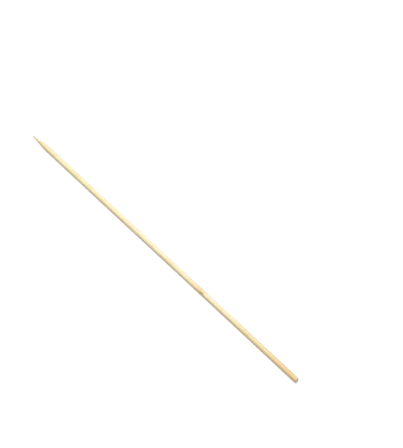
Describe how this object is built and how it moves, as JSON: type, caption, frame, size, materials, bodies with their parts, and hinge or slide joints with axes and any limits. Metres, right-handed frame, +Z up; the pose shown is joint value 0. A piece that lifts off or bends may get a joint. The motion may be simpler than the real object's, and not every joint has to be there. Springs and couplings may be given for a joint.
{
  "type": "bamboo skewer",
  "caption": "Straight round bamboo skewer with a long sanded point and a square-sawn butt, for grilling and serving food.",
  "frame": {"origin": "on the surface that the skewer lies on, under the middle of its length and width", "axes": "+X along the skewer from the point to the butt, +Z up from the surface, +Y across it"},
  "size_m": [0.25, 0.0036, 0.0035],
  "materials": {
    "bamboo": "dry, unvarnished bamboo with fine fibre streaks, lightly tumbled"
  },
  "bodies": {
    "root": {"skewer": "bamboo"}
  },
  "joints": []
}
